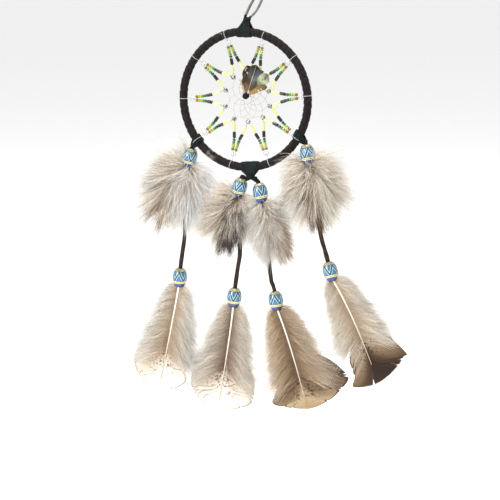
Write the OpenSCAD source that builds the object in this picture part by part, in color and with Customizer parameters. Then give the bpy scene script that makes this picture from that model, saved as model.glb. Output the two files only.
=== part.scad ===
// Dream catcher: a suede-wrapped hoop with a beaded thread web, hung from a
// flat lace, and four beaded strands that each carry a down tuft and a feather.
// The hoop stands in the XZ plane, its front faces -Y, and the origin is where
// a nail or hook bears inside the top of the hanging loop.

/* [Hoop] */
// Outside diameter of the hoop over its suede wrap
hoop_d = 95; // [95:0.5:96]
// Thickness of the wrapped hoop
hoop_t = 5.4; // [5:0.1:5.4]
// Thickness of the wire ring inside the wrap
ring_t = 3; // [2:0.5:4]
// Thickness of the suede that binds the laces to the hoop
binding_t = 0.9; // [0.8:0.1:0.9]

/* [Web] */
// Thickness of the web's thread
thread_d = 0.3; // [0.2:0.05:0.4]
// Rows of knots between the silver beads and the centre
web_rows = 4; // [2:1:4]

/* [Small beads] */
// Diameter of the glass seed beads and black bugles
seed_d = 2.2; // [2:0.1:2.2]
// Length of a seed bead
seed_l = 1.5; // [1.4:0.1:1.5]
// Length of a black bugle bead
black_l = 4.2; // [3.8:0.1:4.2]
// Diameter of a yellow bugle bead
yellow_d = 1.9; // [1.6:0.1:2]
// Length of a yellow bugle bead
yellow_l = 6.2; // [5.8:0.1:6.2]
// Diameter of a silver bead
silver_d = 3; // [2.6:0.1:3]
// Diameter of the clear bead at each point of the web
clear_d = 3.2; // [2.8:0.1:3.2]

/* [Large beads] */
// Greatest diameter of an egg-shaped bead
egg_d = 10.2; // [9.6:0.2:10.4]
// Length of an egg-shaped bead
egg_l = 13; // [12.4:0.2:13]
// Diameter of an egg-shaped bead at its two ends
egg_end_d = 5.4; // [5.2:0.2:5.6]
// Bore of an egg-shaped bead
egg_bore_d = 3.6; // [3.4:0.1:3.8]

/* [Laces and feathers] */
// Width of the flat suede lace
lace_w = 3; // [2.6:0.1:3]
// Thickness of the flat suede lace
lace_t = 1.2; // [1:0.1:1.3]
// Thickness of a large feather's vane with its down
vane_t = 3; // [2:0.5:4]
// Thickness of a quill at its root
quill_d = 1.6; // [1.2:0.1:2]

/* [Hidden] */
STRANDS = ["left", "mid_left", "mid_right", "right"];
$fn = 48;

// Where the nail bears, seen from the hoop's centre
hang_x = 15.5;
hang_z = 109.4;

hoop_r = (hoop_d - hoop_t) / 2;
binding_r = hoop_t / 2 + binding_t;
// Gap between neighbouring bodies that fit round each other
clearance = 0.05;

// The web is tied by hand, so it is a little uneven. Clear bead of each point
// round the hoop, anticlockwise from the right:
APEX = [
    [39.9, 0, 3.6], [30.7, 0, 25.2], [12, 0, 37.3], [-11.9, 0, 37.3], [-30, 0, 22.8],
    [-37.8, 0, -0.5], [-28.7, 0, -23.3], [-8.3, 0, -36.3], [15.3, 0, -34.8], [33.5, 0, -21.1],
];
// silver bead between each point and the next
SILVER = [
    [17.3, 0, 6], [11, 0, 14], [1.6, 0, 17.2], [-8.2, 0, 14.5], [-13.8, 0, 5.8],
    [-14, 0, -4.9], [-7.6, 0, -13], [2.5, 0, -14.5], [13.1, 0, -11.3], [18, 0, -3.6],
];
points = len(APEX);
point_step = 360 / points;
// The rows of knots round the web's own centre
web_centre = [2, 0, 0.5];
web_turn = 2;
ROW_R = [12.8, 9.6, 6.6, 4];
thread_r = thread_d / 2;
small_bore_r = 0.35;
clear_l = 2.2;
// The two legs of a point start side by side inside its clear bead, run nearly
// together through their seed beads and then bend apart
leg_side = 1.15;
leg_drop = 2;
leg_spread = 0.7;
bead_gap = 0.1;
bead_pitch = seed_l + bead_gap;
seeds = 5;
bend_at = seeds * bead_pitch + bead_gap;
black_at = 0.3;
yellow_at = black_at + black_l + bead_gap;

// Angle on the hoop of the middle of each binding, and its half span
TOP_BINDING = [90, 6.5];
BOTTOM_BINDING = [274.8, 8.2];
LEFT_BINDING = [219.5, 5.5];
RIGHT_BINDING = [329.5, 5.5];
BINDINGS = [TOP_BINDING, BOTTOM_BINDING, LEFT_BINDING, RIGHT_BINDING];
// Knot that the hanging loop's two ends meet, and the one that ties the middle strands
loop_joint = [1.6, 0, 52.5];
loop_joint_r = 2;
strand_knot = [4.4, 0, -51];
strand_knot_r = 2.3;
// How far a binding's neck ends short of its knot's skin, so that they blend
neck_step = 0.4;

// Each strand from left to right. Where it swings from the hoop:
SWING = [[-38.4, 0, -33], [-1.8, 0, -51.4], [9.6, 0, -54.2], [43.4, 0, -27]];
// lean of its upper bead, positive to the right at the bottom
LEAN = [-15, -15, 13, 12];
// where the feather swings below the tuft
KNEE = [[-44.6, 0, -93.5], [-3.6, 0, -102], [19, 0, -118.5], [54.6, 0, -87.5]];
// middle of its lower bead
LOWER = [[-48.4, 0, -122.9], [-7.8, 0, -133.6], [22.6, 0, -133.6], [61.4, 0, -111]];
// lean of its lower bead
LOWER_LEAN = [-4, -5, 8, 15];

// Down tufts, each as balls of x, z and radius that a skin is drawn round
TUFTS = [
    [[-44, -58, 10.5], [-61, -62, 14], [-60, -81, 14], [-47, -82, 9], [-39, -64, 10]],
    [[-8, -78, 8.5], [-20, -80, 11], [-22, -96, 10], [-9, -94, 7.5]],
    [[14, -80, 12], [26, -90, 11], [18, -104, 12]],
    [[47, -54, 11.5], [61, -60, 13.5], [38, -62, 11], [50, -71, 12.5], [53, -76, 9]],
];
// The balls are flattened front to back by this much
tuft_depth = 0.9;

// Quills as root, bend and tip
QUILLS = [
    [[-48.9, 0, -128], [-53.5, 0, -152], [-63.5, 0, -196]],
    [[-8.4, 0, -138.8], [-10.5, 0, -160], [-19, 0, -205]],
    [[23.5, 0, -138.8], [33, 0, -160], [45, 0, -203]],
    [[63, 0, -116], [75.5, 0, -134], [91, 0, -171]],
];
quill_rings = 12;
quill_tip_r = 0.25;

// Hanging loop from its left end over the nail to its right end
LOOP_UP = [
    [0.4, 0, 54.8], [2.4, 0, 59], [4.6, 0, 63], [7.2, 0, 67.5], [9, 0, 72.5],
    [9.8, 0, 78], [9.8, 0, 84], [9.2, 0, 90], [8.7, 0, 96],
];
LOOP_DOWN = [
    [22.2, 0, 97], [21.2, 0, 91], [19.5, 0, 85], [17.4, 0, 79], [15, 0, 73.5],
    [13.2, 0, 68.5], [11.4, 0, 64], [9.2, 0, 59.8], [6.6, 0, 56.6], [4, 0, 54.3],
];
bight_centre = [15.5, 0, 103];
bight_r = 7;
bight_turns = 8;

// Knot over the web and the front of the feather that it ties
centre_tie = [1.8, -2.2, 2.8];
centre_tie_r = 2.3;
centre_front = -2.6;

// Moves a piece from the hoop's centre to the frame of the hang point
module hung() translate([-hang_x, 0, -hang_z]) children();

// Turns a shape drawn in XY, about Z, to face the front of the hoop
module upright() rotate([90, 0, 0]) children();

function at_angle(r, a) = [r * cos(a), 0, r * sin(a)];
function web_at(r, a) = web_centre + at_angle(r, a + web_turn);
function unit(v) = v / norm(v);
function between(a, b, t) = a * (1 - t) + b * t;
function bezier(q, t) = between(between(q[0], q[1], t), between(q[1], q[2], t), t);
function arc(x, z, r, from, to, n = 10) =
    [for (i = [0:n]) let (a = from + (to - from) * i / n) [x + r * cos(a), z + r * sin(a)]];
// Down the axis of a bead that leans by this angle
function down(lean) = [sin(lean), 0, -cos(lean)];

// Places a shape drawn along +Z so that it runs from a to b
module along(a, b) {
    d = b - a;
    translate(a)
        rotate([0, acos(d[2] / norm(d)), atan2(d[1], d[0])])
            children();
}

module thread_between(a, b)
    along(a, b) cylinder(h = norm(b - a), r = thread_r, $fn = 16);

// Eight-sided tube along a route in the XZ plane. sizes holds each ring's
// size across Y and its size across the route.
function ring(route, i, size) =
    let (
        last = len(route) - 1,
        ahead = unit(route[min(i + 1, last)] - route[max(i - 1, 0)]),
        over = cross(ahead, [0, 1, 0]),
        corner = min(size[0], size[1]) / 4,
        y = size[0] / 2,
        s = size[1] / 2
    )
    [for (c = [
        [y, s - corner], [y - corner, s], [corner - y, s], [-y, s - corner],
        [-y, corner - s], [corner - y, -s], [y - corner, -s], [y, corner - s]
    ]) route[i] + [0, c[0], 0] + over * c[1]];

module swept(route, sizes) {
    last = len(route) - 1;
    skin = [for (i = [0:last]) each ring(route, i, sizes[i])];
    sides = [for (i = [0:last - 1], j = [0:7]) each [
        [8 * i + j, 8 * i + (j + 1) % 8, 8 * i + 8 + j],
        [8 * i + (j + 1) % 8, 8 * i + 8 + (j + 1) % 8, 8 * i + 8 + j],
    ]];
    polyhedron(skin, concat(
        [[for (j = [7:-1:0]) j]],
        sides,
        [[for (j = [0:7]) 8 * last + j]]
    ));
}

module lace(route, y_size, across)
    swept(route, [for (p = route) [y_size, across]]);

module quill(q, root_d) {
    route = [for (i = [0:quill_rings]) bezier(q, i / quill_rings)];
    swept(route, [for (i = [0:quill_rings])
        let (d = between(root_d, 2 * quill_tip_r, i / quill_rings)) [d, d]]);
}

// ---- Hanging loop ----
module hanging_loop() {
    bight = [for (i = [0:bight_turns])
        bight_centre + at_angle(bight_r, 180 - 180 * i / bight_turns)];
    color("#1c1716") hung()
        lace(concat(LOOP_UP, bight, LOOP_DOWN), lace_w, lace_t);
}

// ---- Hoop ----
module hoop_ring() color("#8d8f90") hung() upright()
    rotate_extrude() translate([hoop_r, 0]) circle(d = ring_t);

module hoop_wrap() color("#1d1a19") hung() upright()
    rotate_extrude() translate([hoop_r, 0]) difference() {
        circle(d = hoop_t);
        circle(d = ring_t + 2 * clearance);
    }

// A band of suede round the hoop over part of its turn
module band(place) upright()
    rotate([0, 0, place[0] - place[1]])
        rotate_extrude(angle = 2 * place[1]) translate([hoop_r, 0]) difference() {
            circle(r = binding_r);
            circle(r = hoop_t / 2 + clearance);
        }

module top_binding() color("#141312") hung() {
    foot = [0, 0, hoop_r + hoop_t / 2 + 0.8];
    band(TOP_BINDING);
    along(foot, loop_joint)
        cylinder(h = norm(loop_joint - foot), r1 = 2.2, r2 = loop_joint_r - neck_step);
    translate(loop_joint) sphere(loop_joint_r);
}

module bottom_binding() color("#131414") hung() {
    foot = [3.8, 0, -hoop_r - hoop_t / 2 - 0.25];
    band(BOTTOM_BINDING);
    along(foot, strand_knot)
        cylinder(h = norm(strand_knot - foot), r1 = 3.2, r2 = strand_knot_r - neck_step);
    translate(strand_knot) sphere(strand_knot_r);
}

module left_binding() color("#131414") hung() band(LEFT_BINDING);
module right_binding() color("#131414") hung() band(RIGHT_BINDING);

// ---- Web ----
function silver_at(k) = SILVER[(k + points) % points];
// Start, bend and end of one leg of point k: side is -1 or 1
function leg(k, side) =
    let (
        way_in = unit(between(silver_at(k), silver_at(k - 1), 0.5) - APEX[k]),
        across = [way_in[2], 0, -way_in[0]] * side,
        start = APEX[k] + way_in * leg_drop + across * leg_side,
        bend = start + unit(way_in * bend_at + across * leg_spread) * bend_at
    )
    [start, bend, silver_at(side > 0 ? k : k - 1)];
// Where the thread turns in each row of the web: row 0 hangs on the silver beads
function turn_at(row, k) =
    row == 0
    ? silver_at(k) + unit(web_centre - silver_at(k)) * (silver_d / 2 + thread_d)
    : web_at(ROW_R[row - 1], (k + 0.5 + row / 2) * point_step);

// Each point's thread is looped round the hoop, over a binding where one is there
module anchor_threads() color("#e8e6df") hung()
    for (k = [0:points - 1]) {
        tip = APEX[k];
        out = atan2(tip[2], tip[0]);
        grip = at_angle(hoop_r, out);
        over_binding = min([for (b = BINDINGS) abs(out - b[0] + 360) % 360 - b[1]]) < 0;
        loop_r = (over_binding ? binding_r : hoop_t / 2) + clearance + thread_r;
        translate(grip) rotate([0, -out, 0])
            rotate_extrude($fn = 32) translate([loop_r, 0]) circle(thread_r, $fn = 16);
        thread_between(at_angle(hoop_r - loop_r, out), tip + at_angle(clear_l / 2 - 0.2, out));
    }

module bead_threads() color("#d8d2c4") hung()
    for (k = [0:points - 1], side = [-1, 1]) {
        l = leg(k, side);
        way_out = unit(l[2] - l[1]);
        thread_between(l[0], l[1] + unit(l[1] - l[0]) * thread_r);
        thread_between(l[1] - way_out * thread_r, l[2] - way_out * (silver_d / 2 + 0.1));
    }

// Each row is one thread that zigzags between its own turns and the next
// row's; neighbouring rows lie on either side of the web's plane and hook there
module web_thread() color("#d8d2c4") hung()
    for (row = [0:web_rows - 1]) {
        side = (row % 2 == 0 ? 1 : -1) * (thread_r + clearance / 2);
        turns = [for (k = [0:points - 1]) each [turn_at(row, k), turn_at(row + 1, k)]];
        last = between(turns[2 * points - 1], turns[0], 0.95);
        translate([0, side, 0]) lace(concat(turns, [last]), thread_d, thread_d);
    }

// Bead with rounded ends on a thread, drawn from its near end along +Z
module small_bead(d, l) {
    edge = d / 6;
    rotate_extrude($fn = 24) polygon([
        [small_bore_r, 0], [d / 2 - edge, 0], [d / 2, edge],
        [d / 2, l - edge], [d / 2 - edge, l], [small_bore_r, l],
    ]);
}

// The same bead on all the legs of all the points. part is 0 from a leg's start
// to its bend, or 1 from its bend to the silver bead.
module leg_beads(part, from, d, l)
    for (k = [0:points - 1], side = [-1, 1]) {
        start = leg(k, side)[part];
        way = unit(leg(k, side)[part + 1] - start);
        along(start + way * from, start + way * (from + l)) small_bead(d, l);
    }

module seed_beads(place) leg_beads(0, bead_gap + place * bead_pitch, seed_d, seed_l);

module clear_beads() color("#dfe6e4") hung()
    for (tip = APEX)
        along(tip - unit(tip) * clear_l / 2, tip + unit(tip) * clear_l / 2)
            small_bead(clear_d, clear_l);

module amber_beads() color("#c48a1e") hung() seed_beads(0);
module gold_beads() color("#d6b21f") hung() seed_beads(1);
module light_green_beads() color("#8fae3a") hung() seed_beads(2);
module green_beads() color("#3f8a32") hung() seed_beads(3);
module dark_green_beads() color("#145c2a") hung() seed_beads(4);
module black_bugles() color("#101214") hung() leg_beads(1, black_at, seed_d, black_l);
module yellow_bugles() color("#e3e86c") hung() leg_beads(1, yellow_at, yellow_d, yellow_l);

module silver_beads() color("#b9bcbe") hung()
    for (k = [0:points - 1]) {
        turn = (k + 0.5) * point_step + web_turn;
        translate(silver_at(k)) rotate([0, 90 - turn, 0]) difference() {
            sphere(d = silver_d);
            cylinder(h = silver_d + 1, r = 0.5, center = true);
        }
    }

// ---- Feather over the middle of the web ----
module centre_knot() color("#1a1614") hung() translate(centre_tie) sphere(centre_tie_r);

module centre_vane() color("#3b3026") hung()
    translate([0, centre_front + 0.35, 0]) upright() linear_extrude(0.7)
        polygon([
            [5.4, 4.2], [3.6, 5.4], [0.9, 6.5], [0.2, 9], [-0.6, 13], [-1, 17.5],
            [0.2, 20.5], [2, 23], [5, 23.6], [9, 23.4], [12.4, 20.8], [14.4, 18.8],
            [18.4, 17.6], [18.8, 14], [17.4, 9], [12, 7], [8, 4.6],
        ]);

module centre_quill() color("#cfc6a6") hung()
    translate([0, centre_front, 0])
        quill([[2.6, 0, 3.2], [5, 0, 10], [9, 0, 20.5]], 0.7);

// ---- Strands ----
function egg_centre(s) = SWING[s] + down(LEAN[s]) * (egg_l / 2 + 0.9);

module egg_bead() {
    drop = (egg_d - egg_end_d) / 2;
    bulge_r = (drop * drop + egg_l * egg_l / 4) / (2 * drop);
    rotate_extrude() intersection() {
        translate([egg_d / 2 - bulge_r, 0]) circle(bulge_r, $fn = 96);
        translate([egg_bore_d / 2, -egg_l / 2]) square([egg_d, egg_l]);
    }
}

module upper_bead(s) color("#4fa7bd") hung()
    translate(egg_centre(s)) rotate([0, -LEAN[s], 0]) egg_bead();

module lower_bead(s) color("#4fa7bd") hung()
    translate(LOWER[s]) rotate([0, -LOWER_LEAN[s], 0]) egg_bead();

// The lace inside the bead and down through the tuft
module upper_thong(s) {
    out = egg_centre(s) + down(LEAN[s]) * (egg_l / 2 + 1);
    end = between(out, KNEE[s], 0.9);
    route = concat(
        [SWING[s], egg_centre(s), out],
        [for (t = [0.25, 0.5, 0.75, 1]) between(out, end, t)]
    );
    color("#221c19") hung() lace(route, lace_t, lace_w);
}

module tuft(s) color("#b5a898") hung()
    hull() for (b = TUFTS[s])
        translate([b[0], 0, b[1]]) scale([1, tuft_depth, 1]) sphere(b[2], $fn = 24);

// The lace from below the tuft into the lower bead
module lower_thong(s) {
    top = LOWER[s] - down(LOWER_LEAN[s]) * egg_l / 2;
    start = KNEE[s] + [0, 0, -0.4];
    route = concat(
        [for (t = [0, 0.33, 0.67]) between(start, top, t)],
        [top - [0, 0, -0.6], LOWER[s]]
    );
    color("#221c19") hung() lace(route, lace_t, lace_w);
}

module lower_quill(s) color("#e9e2cf") hung() quill(QUILLS[s], quill_d);

// Outlines of the four large feathers, in X and Z
module outline(s) {
    if (s == 0)
        hull() {
            translate([-50.5, -133]) circle(2);
            translate([-53.5, -146]) circle(12.5);
            translate([-62.3, -181]) circle(21.5);
        }
    if (s == 1)
        hull() {
            translate([-8.8, -142.5]) circle(2);
            translate([-11, -155]) circle(12.5);
            translate([-13, -176]) circle(22);
            translate([-18.5, -190]) circle(21.5);
        }
    if (s == 2)
        polygon(concat(
            [[25.5, -142.5], [18, -150], [13.5, -161], [13, -172], [16.5, -190], [20, -203]],
            arc(33, -154, 51, 255, 321, 8),
            [[67, -178.5], [60, -169.5], [50, -154], [37, -145], [28, -142]]
        ));
    if (s == 3)
        polygon(concat(
            [[66, -120.5], [57, -129], [56, -142], [61.5, -157], [68.5, -170], [77.5, -186.5]],
            arc(68, -135, 52.5, 283, 327, 8),
            [[104, -153], [97, -143], [89, -128.5], [77, -120.5], [69, -119.5]]
        ));
}

module vane(s) color("#cdc3b4") hung()
    translate([0, vane_t / 2, 0]) upright() linear_extrude(vane_t) outline(s);

hanging_loop();
hoop_ring();
hoop_wrap();
top_binding();
bottom_binding();
left_binding();
right_binding();
anchor_threads();
bead_threads();
web_thread();
clear_beads();
amber_beads();
gold_beads();
light_green_beads();
green_beads();
dark_green_beads();
black_bugles();
yellow_bugles();
silver_beads();
centre_knot();
centre_vane();
centre_quill();
for (s = [0:3]) {
    upper_thong(s);
    upper_bead(s);
    tuft(s);
    lower_thong(s);
    lower_bead(s);
    vane(s);
    lower_quill(s);
}
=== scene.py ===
import math

import bpy
import numpy as np
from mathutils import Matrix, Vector


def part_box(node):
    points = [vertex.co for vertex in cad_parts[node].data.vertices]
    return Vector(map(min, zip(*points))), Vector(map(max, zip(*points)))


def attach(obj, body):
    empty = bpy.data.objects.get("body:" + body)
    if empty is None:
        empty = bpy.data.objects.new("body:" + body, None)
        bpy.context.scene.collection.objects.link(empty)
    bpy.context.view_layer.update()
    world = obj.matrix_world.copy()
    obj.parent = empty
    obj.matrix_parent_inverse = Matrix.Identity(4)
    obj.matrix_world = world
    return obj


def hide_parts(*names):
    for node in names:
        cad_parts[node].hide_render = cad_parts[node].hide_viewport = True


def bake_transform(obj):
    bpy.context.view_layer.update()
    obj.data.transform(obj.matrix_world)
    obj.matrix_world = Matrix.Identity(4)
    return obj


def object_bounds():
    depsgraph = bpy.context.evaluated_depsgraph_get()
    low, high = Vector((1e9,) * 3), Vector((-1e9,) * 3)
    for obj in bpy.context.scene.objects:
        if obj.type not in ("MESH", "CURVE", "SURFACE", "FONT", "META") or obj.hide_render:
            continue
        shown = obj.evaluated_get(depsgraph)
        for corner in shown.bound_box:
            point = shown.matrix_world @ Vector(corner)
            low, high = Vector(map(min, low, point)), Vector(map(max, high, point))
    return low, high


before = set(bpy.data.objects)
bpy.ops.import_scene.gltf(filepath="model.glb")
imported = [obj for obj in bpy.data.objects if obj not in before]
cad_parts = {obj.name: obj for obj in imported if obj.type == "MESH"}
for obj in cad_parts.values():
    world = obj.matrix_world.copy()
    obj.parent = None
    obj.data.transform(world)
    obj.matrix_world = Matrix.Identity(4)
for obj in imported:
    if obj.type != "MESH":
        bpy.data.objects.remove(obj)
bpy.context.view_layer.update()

MM = 0.001
STRANDS = ["left", "mid_left", "mid_right", "right"]
wrap_low, wrap_high = (np.array(corner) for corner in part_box("hoop_wrap"))
HUB = (wrap_low + wrap_high) / 2
HOOP_T = (wrap_high[1] - wrap_low[1]) / MM
HOOP_R = (wrap_high[0] - wrap_low[0]) / MM / 2 - HOOP_T / 2


# ---------------------------------------------------------------- points and curves

def at(x, z, y=0.0):
    """A point, in millimetres from the hoop's centre."""
    return np.array([x, y, z], float)


def points(rows):
    """Points from rows of x and z, or of x, z and y."""
    return np.array([at(*row) for row in rows])


def in_frame(p):
    """A point or points in the frame, in metres."""
    return HUB + np.asarray(p) * MM


def unit(v):
    return v / np.maximum(np.linalg.norm(v, axis=-1, keepdims=True), 1e-9)


def polar(r, degrees, y=0.0):
    """A point at this radius and angle round the hoop's centre."""
    a = math.radians(degrees)
    return at(r * math.cos(a), r * math.sin(a), y)


def mix(a, b, t):
    return a + (b - a) * t


def smoothstep(t):
    t = np.clip(t, 0, 1)
    return t * t * (3 - 2 * t)


def bezier(corners, t):
    """Points of a quadratic curve, t being an array."""
    a, b, c = corners
    t = np.asarray(t)[..., None]
    return (1 - t) ** 2 * a + 2 * t * (1 - t) * b + t * t * c


def smooth_line(rows, steps, closed=False):
    """A Catmull-Rom curve through points, with this many steps between two."""
    p = np.asarray(rows, float)
    if closed:
        p = np.vstack([p[-1:], p, p[:2]])
    else:
        p = np.vstack([2 * p[0] - p[1], p, 2 * p[-1] - p[-2]])
    out = []
    for a, b, c, d in zip(p, p[1:], p[2:], p[3:]):
        for t in np.arange(steps) / steps:
            out.append(0.5 * (2 * b + (c - a) * t + (2 * a - 5 * b + 4 * c - d) * t ** 2
                              + (3 * b - a - 3 * c + d) * t ** 3))
    if not closed:
        out.append(p[-2])
    return np.array(out)


def resampled(line, count):
    """The same line with this many points, evenly spaced."""
    along = np.concatenate([[0], np.cumsum(np.linalg.norm(np.diff(line, axis=0), axis=1))])
    wanted = np.linspace(0, along[-1], count)
    return np.stack([np.interp(wanted, along, line[:, i]) for i in range(3)], axis=1)


# ---------------------------------------------------------------- meshes

def build(name, verts, quads, tris, paint, tint=None, uv=None):
    """A smooth mesh object from points in millimetres. tint is a colour for each
    vertex and uv a place on the pattern for each corner of the faces."""
    quads = np.asarray(quads, np.int32).reshape(-1, 4)
    tris = np.asarray(tris, np.int32).reshape(-1, 3)
    corners = np.concatenate([quads.ravel(), tris.ravel()])
    starts = np.concatenate([np.arange(len(quads)) * 4,
                             len(quads) * 4 + np.arange(len(tris)) * 3])
    mesh = bpy.data.meshes.new(name)
    mesh.vertices.add(len(verts))
    mesh.vertices.foreach_set("co", in_frame(verts).astype(np.float32).ravel())
    mesh.loops.add(len(corners))
    mesh.loops.foreach_set("vertex_index", corners)
    mesh.polygons.add(len(starts))
    mesh.polygons.foreach_set("loop_start", starts.astype(np.int32))
    mesh.update(calc_edges=True)
    mesh.polygons.foreach_set("use_smooth", np.ones(len(starts), bool))
    if tint is not None:
        rgba = np.ones((len(verts), 4), np.float32)
        rgba[:, :3] = tint
        layer = mesh.color_attributes.new("Tint", "FLOAT_COLOR", "POINT")
        layer.data.foreach_set("color", rgba.ravel())
    if uv is not None:
        layer = mesh.uv_layers.new(name="Pattern")
        layer.data.foreach_set("uv", np.asarray(uv, np.float32).ravel())
    mesh.materials.append(paint)
    piece = bpy.data.objects.new(name, mesh)
    bpy.context.scene.collection.objects.link(piece)
    return piece


class Shell:
    """Points and faces gathered from several shapes, to be built as one piece."""

    def __init__(self):
        self.verts, self.quads, self.tris, self.uv4, self.uv3 = [], [], [], [], []
        self.count = 0

    def add(self, verts, quads, tris=(), uv4=None, uv3=None):
        quads = np.asarray(quads, int).reshape(-1, 4)
        tris = np.asarray(tris, int).reshape(-1, 3)
        self.verts.append(verts)
        self.quads.append(quads + self.count)
        self.tris.append(tris + self.count)
        self.uv4.append(np.zeros((len(quads) * 4, 2)) if uv4 is None else uv4)
        self.uv3.append(np.zeros((len(tris) * 3, 2)) if uv3 is None else uv3)
        self.count += len(verts)

    def build(self, name, paint):
        return build(name, np.vstack(self.verts), np.vstack(self.quads),
                     np.vstack(self.tris), paint,
                     uv=np.vstack(self.uv4 + self.uv3))


def grid_quads(rows, cols, wrap_rows=False, wrap_cols=True):
    """Quads of a grid of points, which may close on itself either way."""
    r = np.arange(rows if wrap_rows else rows - 1)
    c = np.arange(cols if wrap_cols else cols - 1)
    r, c = np.meshgrid(r, c, indexing="ij")
    r1, c1 = (r + 1) % rows, (c + 1) % cols
    return np.stack([r * cols + c, r * cols + c1, r1 * cols + c1, r1 * cols + c],
                    axis=-1).reshape(-1, 4)


def grid_uv(rows, cols, wrap_rows=False, wrap_cols=True):
    """Corners on the pattern for grid_quads: U runs over the columns, V the rows."""
    n_r, n_c = (rows if wrap_rows else rows - 1), (cols if wrap_cols else cols - 1)
    r, c = np.meshgrid(np.arange(n_r), np.arange(n_c), indexing="ij")
    u = np.stack([c, c + 1, c + 1, c], axis=-1) / n_c
    v = np.stack([r, r, r + 1, r + 1], axis=-1) / n_r
    return np.stack([u, v], axis=-1).reshape(-1, 2)


def sweep(shell, path, section, side, closed=False):
    """Adds a tube along path. section holds points as (along side, across side), the
    same all along or one ring for each point of the path."""
    ahead = unit(np.roll(path, -1, 0) - np.roll(path, 1, 0)) if closed \
        else unit(np.gradient(path, axis=0))
    side = np.broadcast_to(np.asarray(side, float), path.shape)
    u = unit(side - np.sum(side * ahead, axis=1, keepdims=True) * ahead)
    w = np.cross(ahead, u)
    section = np.broadcast_to(section, (len(path),) + np.shape(section)[-2:])
    rings = path[:, None] + section[..., :1] * u[:, None] + section[..., 1:] * w[:, None]
    n, m = rings.shape[:2]
    verts = rings.reshape(-1, 3)
    quads = grid_quads(n, m, wrap_rows=closed)
    uv4 = grid_uv(n, m, wrap_rows=closed)
    if closed:
        shell.add(verts, quads, uv4=uv4)
        return
    verts = np.vstack([verts, path[0], path[-1]])
    near = [[n * m, (i + 1) % m, i] for i in range(m)]
    far = [[n * m + 1, (n - 1) * m + i, (n - 1) * m + (i + 1) % m] for i in range(m)]
    shell.add(verts, quads, near + far, uv4=uv4)


def oval(width, thick, sides=14, square=0.6):
    """A flat section with rounded edges; square nearer 0 makes it boxier."""
    a = np.arange(sides) / sides * 2 * math.pi
    c, s = np.cos(a), np.sin(a)
    return np.stack([width / 2 * np.sign(c) * np.abs(c) ** square,
                     thick / 2 * np.sign(s) * np.abs(s) ** square], axis=1)


def turned(shell, profile, origin, axis, sides=24):
    """Adds a closed profile of radius and height, turned about axis from origin."""
    profile = np.asarray(profile, float)
    axis = unit(np.asarray(axis, float))
    u = unit(np.cross(axis, at(0, 0, 1) if abs(axis[1]) < 0.9 else at(1, 0)))
    w = np.cross(axis, u)
    a = np.arange(sides) / sides * 2 * math.pi
    ring = np.cos(a)[:, None] * u + np.sin(a)[:, None] * w
    verts = origin + profile[:, None, :1] * ring + profile[:, None, 1:] * axis
    rows = len(profile)
    shell.add(verts.reshape(-1, 3), grid_quads(rows, sides, wrap_rows=True),
              uv4=grid_uv(rows, sides, wrap_rows=True))


# ---------------------------------------------------------------- materials

def srgb(r, g, b):
    """A colour of 0 to 255 as Blender's linear values."""
    c = np.array([r, g, b]) / 255
    return tuple(np.where(c <= 0.04045, c / 12.92, ((c + 0.055) / 1.055) ** 2.4))


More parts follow.
